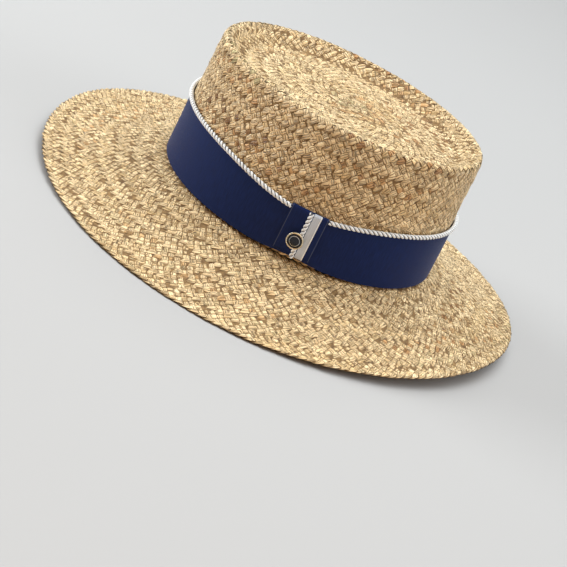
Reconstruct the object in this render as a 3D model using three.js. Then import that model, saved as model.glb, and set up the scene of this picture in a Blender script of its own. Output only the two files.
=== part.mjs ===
// A straw boater: braided crown with a sunken tip, drooping braided brim, ribbon band with a
// twisted cord along its top edge, and a side tab that carries a tape, a cord and a stud button.
// Millimetres, +Z up, front of the hat towards -Y, wearer's left towards +X.
import * as THREE from "three";

// Head opening and oval
const HEAD_LENGTH = 200;
const HEAD_WIDTH = 168;
const STRAW = 2.2;
const OVAL = (HEAD_LENGTH - HEAD_WIDTH) / 4;
const OVAL_FULL_RADIUS = 70;
const RING_STEPS = 64;

// Crown
const FOOT_RADIUS = (HEAD_LENGTH + HEAD_WIDTH) / 4 + STRAW;
const CROWN_HEIGHT = 92.3;
const BAND_ZONE = 48;
const BAND_ZONE_TAPER = 1.5;
const CREST_RADIUS = 85.8;
const TOP_OVAL = 10;
const TIP_DEPTH = 10;
const TIP_RADIUS = 72;
const TIP_FLAT_RADIUS = 24;
const TIP_CAMBER = 0.8;
const CROWN_SET_BACK = 6.6;
const CROWN_LEAN = 2.4;

// Braid rows, each one lapped over the next
const ROW_LAP = 0.5;
const LAP_SHARE = 0.06;
const TIP_ROWS = 5;
const SIDE_ROWS = 3;
const BRIM_ROWS = 7;

// Brim
const BRIM_LENGTH = 361;
const EDGE_RADIUS = BRIM_LENGTH / 2 - OVAL;
const SIDE_DROP = 23.8;
const END_DROP = 14.4;
const LEVEL_ARC = THREE.MathUtils.degToRad(12);
const EDGE_LEVEL = 5;
const EDGE_ROUND = 0.8;
const DROOP = 1.25;

// Ribbon band and its cord
const GAP = 0.3;
const CLOTH = 1;
const CORD_RADIUS = 1.6;
const CORD_SIDES = 8;
const CORD_STEPS = 80;
const CORD_RISE = 43;
const CORD_TILT = 1.5;
const BAND_FOOT = 0.4;

// Tab and the pinch it puts in the band
const TAB_ANGLE = THREE.MathUtils.degToRad(22.8);
const TAB_WIDTH = 25.4;
const TAB_BOTTOM = 3.4;
const TAB_TOP = 36.8;
const PINCH_ANGLE = THREE.MathUtils.degToRad(19.3);
const PINCH_TOP = 8.6;
const PINCH_TOP_SPREAD = THREE.MathUtils.degToRad(28);
const PINCH_FOOT = 2.4;
const PINCH_FOOT_SPREAD = THREE.MathUtils.degToRad(11);
const TAB_CORD_OFFSET = 0.8;
const TAPE_OFFSET = 5.3;
const TAPE_WIDTH = 5.2;
const TAB_CORD_STEPS = 4;
const SHEET_STEPS_ALONG = 6;
const SHEET_STEPS_UP = 3;

// Stud button
const BUTTON_OFFSET = -1.3;
const BUTTON_RISE = 16.2;
const BUTTON_RADIUS = 5.75;
const BUTTON_STEM_RADIUS = 2.7;
const BUTTON_CAP = 1.7;
const BUTTON_RIM = 0.9;
const BUTTON_EDGE = 0.4;
const BUTTON_FACE_DEPTH = 0.8;
const BUTTON_FACE_DOME = 0.25;
const BUTTON_FIT = 0.15;
const BUTTON_STEPS = 28;

const STRAW_FINISH = { color: 0xd2b07a, roughness: 0.75, metalness: 0 };
const NAVY_FINISH = { color: 0x1f2b52, roughness: 0.5, metalness: 0 };
const CORD_FINISH = { color: 0xe4e5df, roughness: 0.5, metalness: 0 };
const TAPE_FINISH = { color: 0xb9bec4, roughness: 0.55, metalness: 0 };
const METAL_FINISH = { color: 0xb59a62, roughness: 0.3, metalness: 1 };
const ENAMEL_FINISH = { color: 0x16181d, roughness: 0.2, metalness: 0 };

const { lerp, clamp, smoothstep } = THREE.MathUtils;

// The crown's foot stands on the brim, which is highest at the head
const footHeight = SIDE_DROP + STRAW + GAP;

// A point of an oval whose half length exceeds its half width by twice the stretch
function oval(radius, turn, stretch) {
  const eased = stretch * Math.min(1, radius / OVAL_FULL_RADIUS);
  return [(radius - eased) * Math.cos(turn), (radius + eased) * Math.sin(turn)];
}

// A point of the crown, given by its radius, turn and height above the foot
function onCrown(radius, turn, height) {
  const stretch = lerp(OVAL, TOP_OVAL, smoothstep(height, BAND_ZONE, CROWN_HEIGHT));
  const [x, y] = oval(radius, turn, stretch);
  const lean = (CROWN_LEAN * height) / CROWN_HEIGHT;
  return new THREE.Vector3(x, y + CROWN_SET_BACK + lean, footHeight + height);
}

// A point standing off the crown's side by a lift, anywhere in the band's zone
function onSide(turn, height, lift) {
  return onCrown(FOOT_RADIUS - (BAND_ZONE_TAPER * height) / BAND_ZONE + lift, turn, height);
}

// Turn on the oval of a place along the band, measured from the tab's middle
function alongBand(offset) {
  const speed = new THREE.Vector2(
    (FOOT_RADIUS - OVAL) * Math.sin(TAB_ANGLE),
    (FOOT_RADIUS + OVAL) * Math.cos(TAB_ANGLE),
  ).length();
  return TAB_ANGLE + offset / speed;
}

// A smooth bump round the oval, 1 at its middle
function bump(turn, middle, spread) {
  const offset = Math.atan2(Math.sin(turn - middle), Math.cos(turn - middle));
  return Math.exp(-((offset / spread) ** 2));
}

// Height of the cord above the foot: a little higher in front, and pinched down at the tab
function cordHeight(turn) {
  const pinch = PINCH_TOP * bump(turn, PINCH_ANGLE, PINCH_TOP_SPREAD);
  return CORD_RISE - CORD_TILT * Math.sin(turn) - pinch;
}

function bandBottom(turn) {
  return BAND_FOOT + PINCH_FOOT * bump(turn, TAB_ANGLE, PINCH_FOOT_SPREAD);
}

function bandTop(turn) {
  return cordHeight(turn) - CORD_RADIUS - GAP;
}

function piece(name, geometry, finish) {
  const mesh = new THREE.Mesh(geometry, new THREE.MeshStandardMaterial(finish));
  mesh.name = name;
  return mesh;
}

// Moves each vertex of a geometry to where place puts it
function reshape(geometry, place) {
  const position = geometry.attributes.position;
  const vertex = new THREE.Vector3();
  for (let i = 0; i < position.count; i += 1) {
    vertex.fromBufferAttribute(position, i);
    const moved = place(vertex);
    position.setXYZ(i, moved.x, moved.y, moved.z);
  }
  geometry.computeVertexNormals();
  return geometry;
}

// Turns a profile, listed from its top outwards and down, about the vertical axis
function turned(profile, steps) {
  const points = profile.map(({ radius, height }) => new THREE.Vector2(radius, height)).reverse();
  return new THREE.LatheGeometry(points, steps).rotateX(Math.PI / 2);
}

// Turns a profile and lays it on the oval with place(radius, turn, height)
function turnedOval(profile, place) {
  return reshape(turned(profile, RING_STEPS), (v) =>
    place(Math.hypot(v.x, v.y), Math.atan2(v.y, v.x), v.z),
  );
}

// Points of lapped rows between two profile points: each row ends proud of the next one's start
function lappedRows(start, end, rows, sunk) {
  const points = [];
  for (let row = 0; row < rows; row += 1) {
    const at = (part) => ({
      radius: lerp(start.radius, end.radius, (row + part) / rows),
      height: lerp(start.height, end.height, (row + part) / rows),
    });
    const head = at(LAP_SHARE);
    const tucked = { radius: head.radius - sunk.radius, height: head.height - sunk.height };
    points.push(row === 0 ? at(0) : tucked, at(1));
  }
  return points;
}

// The rim round the sunken tip, from the tip's edge over the crest to the top of the side, as
// distances inside or outside the crest and below it, for both faces of the straw
const RIM_OUTSIDE = [
  { out: -11.6, below: 9 },
  { out: -4, below: 2.2 },
  { out: -1.5, below: 0.4 },
  { out: 0, below: 0 },
  { out: 1.8, below: 0.9 },
  { out: 3, below: 3.2 },
];
const RIM_INSIDE = [
  { out: 1.1, below: 4.1 },
  { out: -0.2, below: 2.2 },
  { out: -2.6, below: 3.8 },
  { out: -10.2, below: 10.6 },
];
const SIDE_TOP = { radius: CREST_RADIUS + 3.8, height: CROWN_HEIGHT - 8 };

const onRim = ({ out, below }) => ({ radius: CREST_RADIUS + out, height: CROWN_HEIGHT - below });

function buildCrown() {
  const tipHeight = CROWN_HEIGHT - TIP_DEPTH;
  const tipEdge = { radius: TIP_RADIUS, height: tipHeight };
  const tipMiddle = { radius: TIP_FLAT_RADIUS, height: tipHeight + TIP_CAMBER };
  const bandZoneTop = { radius: FOOT_RADIUS - BAND_ZONE_TAPER, height: BAND_ZONE };
  const outside = [
    { radius: 0, height: tipMiddle.height },
    ...lappedRows(tipMiddle, tipEdge, TIP_ROWS, { radius: 0, height: ROW_LAP }),
    ...RIM_OUTSIDE.map(onRim),
    ...lappedRows(SIDE_TOP, bandZoneTop, SIDE_ROWS, { radius: ROW_LAP, height: 0 }),
    { radius: FOOT_RADIUS, height: 0 },
  ];
  const inside = [
    { radius: FOOT_RADIUS - STRAW, height: 0 },
    { radius: bandZoneTop.radius - STRAW, height: BAND_ZONE },
    { radius: SIDE_TOP.radius - STRAW, height: SIDE_TOP.height },
    ...RIM_INSIDE.map(onRim),
    { radius: TIP_RADIUS, height: tipHeight - STRAW },
    { radius: TIP_FLAT_RADIUS, height: tipMiddle.height - STRAW },
    { radius: 0, height: tipMiddle.height - STRAW },
  ];
  return piece("crown", turnedOval([...outside, ...inside], onCrown), STRAW_FINISH);
}

// Share of the full drop at a turn: whole along both sides, least in front and behind
function sideShare(turn) {
  const fromSide = Math.atan2(Math.abs(Math.sin(turn)), Math.abs(Math.cos(turn)));
  return 1 - smoothstep(fromSide, LEVEL_ARC, Math.PI / 2);
}

// A point of the brim at a height above its underside, drooping from the head to a level edge
function onBrim(radius, turn, height) {
  const headRadius = FOOT_RADIUS - STRAW;
  const reach = (radius - headRadius) / (EDGE_RADIUS - headRadius);
  const fall = clamp((radius - headRadius) / (EDGE_RADIUS - EDGE_LEVEL - headRadius), 0, 1);
  const drop = lerp(END_DROP, SIDE_DROP, sideShare(turn)) * (1 - (1 - fall) ** DROOP);
  const [x, y] = oval(radius, turn, OVAL);
  return new THREE.Vector3(x, y + CROWN_SET_BACK * (1 - reach), SIDE_DROP - drop + height);
}

function buildBrim() {
  const head = { radius: FOOT_RADIUS - STRAW, height: STRAW };
  const edge = { radius: EDGE_RADIUS - EDGE_ROUND, height: STRAW };
  const underside = [];
  for (let row = 0; row <= BRIM_ROWS; row += 1) {
    underside.push({
      radius: lerp(EDGE_RADIUS - EDGE_LEVEL, head.radius, row / BRIM_ROWS),
      height: 0,
    });
  }
  const profile = [
    ...lappedRows(head, edge, BRIM_ROWS, { radius: 0, height: ROW_LAP }),
    { radius: EDGE_RADIUS, height: STRAW / 2 },
    { radius: EDGE_RADIUS - EDGE_ROUND, height: 0 },
    ...underside,
    head,
  ];
  return piece("brim", turnedOval(profile, onBrim), STRAW_FINISH);
}

// The ribbon's plain ring, with its edges then drawn to the band's bottom and top
function buildRibbon() {
  const inner = FOOT_RADIUS + GAP;
  const outer = inner + CLOTH;
  const profile = [
    { radius: inner, height: 1 },
    { radius: outer, height: 1 },
    { radius: outer, height: 0.5 },
    { radius: outer, height: 0 },
    { radius: inner, height: 0 },
    { radius: inner, height: 0.5 },
    { radius: inner, height: 1 },
  ];
  const place = (radius, turn, share) =>
    onSide(turn, lerp(bandBottom(turn), bandTop(turn), share), radius - FOOT_RADIUS);
  return piece("ribbon_band", turnedOval(profile, place), NAVY_FINISH);
}

// A path whose points come from a function of its share, from 0 to 1
class Path extends THREE.Curve {
  constructor(at) {
    super();
    this.at = at;
  }

  getPoint(share) {
    return this.at(share);
  }

  getPointAt(share) {
    return this.at(share);
  }
}

function cordAlong(name, at, steps) {
  const section = new THREE.Shape();
  section.absarc(0, 0, CORD_RADIUS, 0, 2 * Math.PI, false);
  const geometry = new THREE.ExtrudeGeometry(section, {
    steps,
    curveSegments: CORD_SIDES / 2,
    extrudePath: new Path(at),
  });
  return piece(name, geometry, CORD_FINISH);
}

// The cord runs the long way round, from one edge of the tab to the other
function buildTrimCord() {
  const start = alongBand(TAB_WIDTH / 2 + GAP);
  const end = alongBand(-TAB_WIDTH / 2 - GAP) + 2 * Math.PI;
  const at = (share) => {
    const turn = lerp(start, end, share);
    return onSide(turn, cordHeight(turn), GAP + CORD_RADIUS);
  };
  return cordAlong("trim_cord", at, CORD_STEPS);
}

// A thin sheet lying round the crown's side, standing off it by a lift
function sheet(name, { middle, width, bottom, top, lift }, finish) {
  const box = new THREE.BoxGeometry(1, 1, 1, SHEET_STEPS_ALONG, SHEET_STEPS_UP, 1);
  const place = ({ x, y, z }) =>
    onSide(alongBand(middle + width * x), lerp(bottom, top, y + 0.5), lift + CLOTH * (z + 0.5));
  return piece(name, reshape(box, place), finish);
}

const tabLift = 2 * GAP + CLOTH;
const tabFace = tabLift + CLOTH;

function buildTab() {
  const tab = new THREE.Group();
  const wrap = { middle: 0, width: TAB_WIDTH, bottom: TAB_BOTTOM, top: TAB_TOP, lift: tabLift };
  const tape = { ...wrap, middle: TAPE_OFFSET, width: TAPE_WIDTH, lift: tabFace + GAP };
  tab.add(sheet("tab_wrap", wrap, NAVY_FINISH));
  tab.add(sheet("tab_tape", tape, TAPE_FINISH));
  const clear = BUTTON_STEM_RADIUS + GAP;
  const stretches = [
    { name: "tab_cord_upper", from: BUTTON_RISE + clear, to: TAB_TOP },
    { name: "tab_cord_lower", from: BUTTON_RISE - clear, to: TAB_BOTTOM },
  ];
  for (const { name, from, to } of stretches) {
    const at = (share) =>
      onSide(alongBand(TAB_CORD_OFFSET), lerp(from, to, share), tabFace + GAP + CORD_RADIUS);
    tab.add(cordAlong(name, at, TAB_CORD_STEPS));
  }
  return tab;
}

// The stud stands on the tab: a stem that parts the cord, and a rimmed cap above the cord
function buildButton() {
  const capFoot = 2 * CORD_RADIUS + GAP;
  const capTop = capFoot + BUTTON_CAP;
  const wellRadius = BUTTON_RADIUS - BUTTON_RIM;
  const wellFloor = capTop - BUTTON_FACE_DEPTH - BUTTON_FIT;
  const stud = [
    { radius: 0, height: wellFloor },
    { radius: wellRadius, height: wellFloor },
    { radius: wellRadius, height: capTop },
    { radius: BUTTON_RADIUS - BUTTON_EDGE, height: capTop },
    { radius: BUTTON_RADIUS, height: capTop - BUTTON_EDGE },
    { radius: BUTTON_RADIUS, height: capFoot + BUTTON_EDGE },
    { radius: BUTTON_RADIUS - BUTTON_EDGE, height: capFoot },
    { radius: BUTTON_STEM_RADIUS, height: capFoot },
    { radius: BUTTON_STEM_RADIUS, height: 0 },
    { radius: 0, height: 0 },
  ];
  const faceRadius = wellRadius - BUTTON_FIT;
  const face = [
    { radius: 0, height: capTop },
    { radius: faceRadius / 2, height: capTop - BUTTON_FACE_DOME / 4 },
    { radius: faceRadius, height: capTop - BUTTON_FACE_DOME },
    { radius: faceRadius, height: wellFloor + BUTTON_FIT },
    { radius: 0, height: wellFloor + BUTTON_FIT },
  ];
  const button = new THREE.Group();
  button.add(piece("button_stud", turned(stud, BUTTON_STEPS), METAL_FINISH));
  button.add(piece("button_face", turned(face, BUTTON_STEPS), ENAMEL_FINISH));

  const turn = alongBand(BUTTON_OFFSET);
  const seat = onSide(turn, BUTTON_RISE, tabFace + GAP);
  const along = onSide(alongBand(BUTTON_OFFSET + 1), BUTTON_RISE, tabFace + GAP).sub(seat);
  const back = onSide(alongBand(BUTTON_OFFSET - 1), BUTTON_RISE, tabFace + GAP).sub(seat);
  const upward = onSide(turn, BUTTON_RISE + 1, tabFace + GAP).sub(seat);
  const outward = along.sub(back).cross(upward).normalize();
  button.position.copy(seat);
  button.quaternion.setFromUnitVectors(new THREE.Vector3(0, 0, 1), outward);
  return button;
}

const hat = new THREE.Group();
hat.add(buildCrown(), buildBrim(), buildRibbon(), buildTrimCord(), buildTab(), buildButton());

export default hat;
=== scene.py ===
"""A straw boater hat in braided raffia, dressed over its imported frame."""

import logging
import math
from dataclasses import dataclass, field, replace
from enum import Enum
from typing import Any, Callable, Optional

import bpy
import numpy as np
from mathutils import Matrix, Vector


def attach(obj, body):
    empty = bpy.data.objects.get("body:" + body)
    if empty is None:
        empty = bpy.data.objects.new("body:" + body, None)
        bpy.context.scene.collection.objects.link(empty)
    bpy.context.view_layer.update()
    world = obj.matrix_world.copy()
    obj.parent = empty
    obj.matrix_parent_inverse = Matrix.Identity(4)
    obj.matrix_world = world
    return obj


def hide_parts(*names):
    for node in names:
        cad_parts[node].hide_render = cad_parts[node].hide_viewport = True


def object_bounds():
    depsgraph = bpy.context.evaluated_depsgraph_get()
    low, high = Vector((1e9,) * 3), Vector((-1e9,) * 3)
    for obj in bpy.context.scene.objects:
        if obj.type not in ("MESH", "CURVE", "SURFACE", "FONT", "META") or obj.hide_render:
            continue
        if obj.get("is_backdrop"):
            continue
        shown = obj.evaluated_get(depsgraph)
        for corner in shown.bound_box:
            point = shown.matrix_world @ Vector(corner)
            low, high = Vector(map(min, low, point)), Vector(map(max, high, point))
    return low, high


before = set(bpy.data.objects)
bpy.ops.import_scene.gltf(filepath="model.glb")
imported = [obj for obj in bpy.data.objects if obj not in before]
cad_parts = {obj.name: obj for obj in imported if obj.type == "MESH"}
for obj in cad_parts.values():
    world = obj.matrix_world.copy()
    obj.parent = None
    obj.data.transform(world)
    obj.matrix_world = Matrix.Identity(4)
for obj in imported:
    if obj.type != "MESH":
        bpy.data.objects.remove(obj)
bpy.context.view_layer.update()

MM = 0.001
TURN = 2 * math.pi
IMAGE_SIDE = 567

Array = np.ndarray
Colour = tuple[float, float, float]
Mapping = Callable[[Array, Array], Array]
Material = bpy.types.Material
Node = bpy.types.Node
Piece = bpy.types.Object
Socket = bpy.types.NodeSocket
Tree = bpy.types.NodeTree

log = logging.getLogger("boater")


class Twist(Enum):
    """Which way the plies of a cord turn as they run on."""

    LEFT = -1
    RIGHT = 1


class Hold(Enum):
    """How a sheet of ribbon is held."""

    STRETCHED = "stretched"


class Slot(Enum):
    """The record's material slots."""

    STRAW = "straw"
    RIBBON = "ribbon"
    CORD = "cord"
    TAPE = "tape"
    STUD = "stud_metal"
    ENAMEL = "enamel"


def smoothstep(x: Array, low: float, high: float) -> Array:
    """Ease from 0 at low to 1 at high.

    Args:
        x: values to ease.
        low: where the step starts.
        high: where the step ends.

    Returns:
        The eased values, from 0 to 1.
    """
    share = np.clip((x - low) / (high - low), 0.0, 1.0)
    return share * share * (3.0 - 2.0 * share)


def unit(vectors: Array) -> Array:
    """Scale vectors along the last axis to length 1."""
    return vectors / np.maximum(np.linalg.norm(vectors, axis=-1, keepdims=True), 1e-9)


def travelled(points: Array) -> Array:
    """Distance gone along a line of points, from 0 at its start."""
    return np.concatenate([[0.0], np.cumsum(np.linalg.norm(np.diff(points, axis=0), axis=1))])


@dataclass(frozen=True)
class HatForm:
    """Driving sizes of the hat in millimetres, and the surfaces that follow from them."""

    head_length: float = 200.0
    head_width: float = 168.0
    straw: float = 2.2
    gap: float = 0.3
    oval_full_radius: float = 70.0
    crown_height: float = 92.3
    band_zone: float = 48.0
    band_zone_taper: float = 1.5
    crest_radius: float = 85.8
    top_oval: float = 10.0
    tip_depth: float = 10.0
    tip_radius: float = 72.0
    tip_flat_radius: float = 24.0
    tip_camber: float = 0.8
    crown_set_back: float = 6.6
    crown_lean: float = 2.4
    brim_length: float = 361.0
    side_drop: float = 23.8
    end_drop: float = 14.4
    level_arc: float = math.radians(12.0)
    edge_level: float = 5.0
    droop: float = 1.25
    profile_step: float = 0.25
    profile_ease: float = 1.3

    @property
    def oval(self) -> float:
        """Half of what the head oval's radii differ by."""
        return (self.head_length - self.head_width) / 4.0

    @property
    def foot_radius(self) -> float:
        """Mean outside radius of the crown at its foot."""
        return (self.head_length + self.head_width) / 4.0 + self.straw

    @property
    def head_radius(self) -> float:
        """Mean radius of the head opening."""
        return self.foot_radius - self.straw

    @property
    def edge_radius(self) -> float:
        """Mean radius of the brim's edge."""
        return self.brim_length / 2.0 - self.oval

    @property
    def foot_height(self) -> float:
        """Height of the crown's foot over the floor."""
        return self.side_drop + self.straw + self.gap

    def _oval_point(self, r: Array, t: Array, stretch: Array) -> tuple[Array, Array]:
        """Point at mean radius r and angle t on an oval stretched front to back."""
        eased = stretch * np.minimum(1.0, r / self.oval_full_radius)
        return (r - eased) * np.cos(t), (r + eased) * np.sin(t)

    def crown_point(self, r: Array, t: Array, h: Array) -> Array:
        """Point of the crown.

        Args:
            r: mean radius.
            t: angle, from the wearer's left towards the back.
            h: height over the crown's foot.

        Returns:
            Points, with x, y and z on the last axis.
        """
        rise = smoothstep(h, self.band_zone, self.crown_height)
        x, y = self._oval_point(r, t, self.oval + (self.top_oval - self.oval) * rise)
        y = y + self.crown_set_back + self.crown_lean * h / self.crown_height
        return np.stack(np.broadcast_arrays(x, y, self.foot_height + h), axis=-1)

    def side_point(self, t: Array, h: Array, lift: Array) -> Array:
        """Point over the straight part of the crown's side.

        Args:
            t: angle.
            h: height over the crown's foot.
            lift: distance off the straw.

        Returns:
            Points, with x, y and z on the last axis.
        """
        radius = self.foot_radius - self.band_zone_taper * h / self.band_zone + lift
        return self.crown_point(radius, t, h)

    def brim_point(self, r: Array, t: Array, h: Array) -> Array:
        """Point of the brim.

        Args:
            r: mean radius.
            t: angle.
            h: height over the underside.

        Returns:
            Points, with x, y and z on the last axis.
        """
        head, edge = self.head_radius, self.edge_radius
        reach = (r - head) / (edge - head)
        fall = np.clip((r - head) / (edge - self.edge_level - head), 0.0, 1.0)
        turned = np.abs(np.arcsin(np.clip(np.sin(t), -1.0, 1.0)))
        share = 1.0 - smoothstep(turned, self.level_arc, math.pi / 2)
        drop = self.end_drop + (self.side_drop - self.end_drop) * share
        drop = drop * (1.0 - (1.0 - fall) ** self.droop)
        x, y = self._oval_point(r, t, self.oval)
        y = y + self.crown_set_back * (1.0 - reach)
        return np.stack(np.broadcast_arrays(x, y, self.side_drop - drop + h), axis=-1)

    def crown_profile(self) -> tuple[Array, Array]:
        """Middle of the crown's wall, from the tip's centre to the foot.

        Returns:
            Mean radii and heights, evenly spaced along the wall and eased at the bends.
        """
        tip = self.crown_height - self.tip_depth - self.straw / 2
        crest, top = self.crest_radius, self.crown_height
        half = self.straw / 2
        corners = [
            (0.0, tip + self.tip_camber),
            (self.tip_flat_radius, tip + self.tip_camber),
            (self.tip_radius, tip),
            (crest - 10.9, top - 9.8),
            (crest - 3.3, top - 3.0),
            (crest - 1.6, top - 1.5),
            (crest, top - 1.1),
            (crest + 1.2, top - 1.7),
            (crest + 2.1, top - 3.7),
            (crest + 3.8 - half, top - 8.0),
            (self.foot_radius - self.band_zone_taper - half, self.band_zone),
            (self.foot_radius - half, 0.0),
        ]
        r, h = (np.array(column) for column in zip(*corners))
        run = travelled(np.stack([r, h], axis=1))
        even = np.arange(0.0, run[-1], self.profile_step)
        r, h = np.interp(even, run, r), np.interp(even, run, h)
        reach = int(3 * self.profile_ease / self.profile_step)
        offsets = np.arange(-reach, reach + 1) * self.profile_step / self.profile_ease
        weights = np.exp(-0.5 * offsets**2)
        weights /= weights.sum()

        def ease(values: Array) -> Array:
            """Smooth one coordinate, carrying its ends on in a straight line."""
            head = values[0] - (values[1 : reach + 1] - values[0])[::-1]
            foot = values[-1] - (values[-reach - 1 : -1] - values[-1])[::-1]
            return np.convolve(np.concatenate([head, values, foot]), weights, "valid")

        return np.maximum(ease(r), 0.0), ease(h)


@dataclass
class Shell:
    """A wall of straw, found by its run down from the middle and an angle."""

    point: Callable[[Array, Array, Array], Array]
    radii: Array
    heights: Array
    runs: Array

    def place(self, run: Array, t: Array) -> Array:
        """Points in the middle of the wall."""
        r = np.interp(run, self.runs, self.radii)
        return self.point(r, t, np.interp(run, self.runs, self.heights))

    def radius(self, run: Array) -> Array:
        """Mean radius at a run."""
        return np.interp(run, self.runs, self.radii)

    def normal(self, run: Array, t: Array) -> Array:
        """Outward directions of the wall.

        Args:
            run: distances down the wall.
            t: angles.

        Returns:
            Unit vectors.
        """
        step, swing = 0.6, 0.01
        near = np.clip(run, self.runs[0] + 1.2, self.runs[-1])
        down = self.place(near + step, t) - self.place(near - step, t)
        round_ = self.place(near, t + swing) - self.place(near, t - swing)
        return unit(np.cross(down, round_))

    @staticmethod
    def of_crown(form: HatForm) -> "Shell":
        """The crown's wall."""
        r, h = form.crown_profile()
        return Shell(form.crown_point, r, h, travelled(np.stack([r, h], axis=1)))

    @staticmethod
    def of_brim(form: HatForm) -> "Shell":
        """The brim's wall, whose run is its mean radius."""
        r = np.linspace(form.head_radius - 14.0, form.edge_radius + 2.0, 400)
        return Shell(form.brim_point, r, np.full_like(r, form.straw / 2), r)


class NodeSheet:
    """A node tree with short calls for adding and linking nodes."""

    def __init__(self, tree: Tree) -> None:
        """Take a tree to fill."""
        self.tree = tree

    def add(
        self, kind: str, settings: Optional[dict[str, Any]] = None, **inputs: Any
    ) -> Node:
        """Add a node.

        Args:
            kind: the node's type, without its ShaderNode prefix.
            settings: properties of the node.
            **inputs: sockets by name, with _ for a space, as a value or an output to link.

        Returns:
            The node.
        """
        node = self.tree.nodes.new(kind if kind.startswith("Node") else "ShaderNode" + kind)
        for name, value in (settings or {}).items():
            setattr(node, name, value)
        self.fill(node, **inputs)
        return node

    def fill(self, node: Node, **inputs: Any) -> None:
        """Set or link a node's sockets.

        Args:
            node: the node.
            **inputs: sockets by name, with _ for a space, or by i and a number.
        """
        for name, value in inputs.items():
            label = name.replace("_", " ")
            self.feed(node.inputs[int(label[1:]) if label[1:].isdigit() else label], value)

    def noise(self, scale: float, detail: float = 2.0) -> Socket:
        """Noise over the object's own coordinates."""
        place = self.add("TexCoord").outputs["Object"]
        return self.add("TexNoise", Vector=place, Scale=scale, Detail=detail).outputs[0]

    def feed(self, socket: Socket, value: Any) -> None:
        """Link an output to a socket, or set the socket's value."""
        if isinstance(value, Socket):
            self.tree.links.new(value, socket)
        else:
            socket.default_value = value

    def math(self, operation: str, a: Any, b: Any = 0.0, c: Any = 0.0) -> Socket:
        """Add a math node and give its output."""
        return self.add("Math", {"operation": operation}, i0=a, i1=b, i2=c).outputs[0]

    def attribute(self, name: str) -> Socket:
        """Read a number that the mesh carries."""
        return self.add("Attribute", {"attribute_name": name}).outputs["Fac"]

    def blend(self, share: Any, a: Any, b: Any, mode: str = "MIX") -> Socket:
        """Mix two colours.

        Args:
            share: how much of b.
            a: first colour.
            b: second colour.
            mode: how b is laid on a.

        Returns:
            The mixed colour.
        """
        node = self.tree.nodes.new("ShaderNodeMix")
        node.data_type, node.blend_type = "RGBA", mode
        colours = [s for s in node.inputs if s.type == "RGBA"]
        self.feed(node.inputs[0], share)
        for socket, value in zip(colours, (a, b)):
            self.feed(socket, value if isinstance(value, Socket) else (*value, 1.0))
        return next(s for s in node.outputs if s.type == "RGBA")

    def spread(
        self, value: Any, low: float, high: float, to_low: float, to_high: float
    ) -> Socket:
        """Move a value from one range to another, held at its ends."""
        limits = {"From_Min": low, "From_Max": high, "To_Min": to_low, "To_Max": to_high}
        return self.add("MapRange", {"clamp": True}, Value=value, **limits).outputs["Result"]


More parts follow.
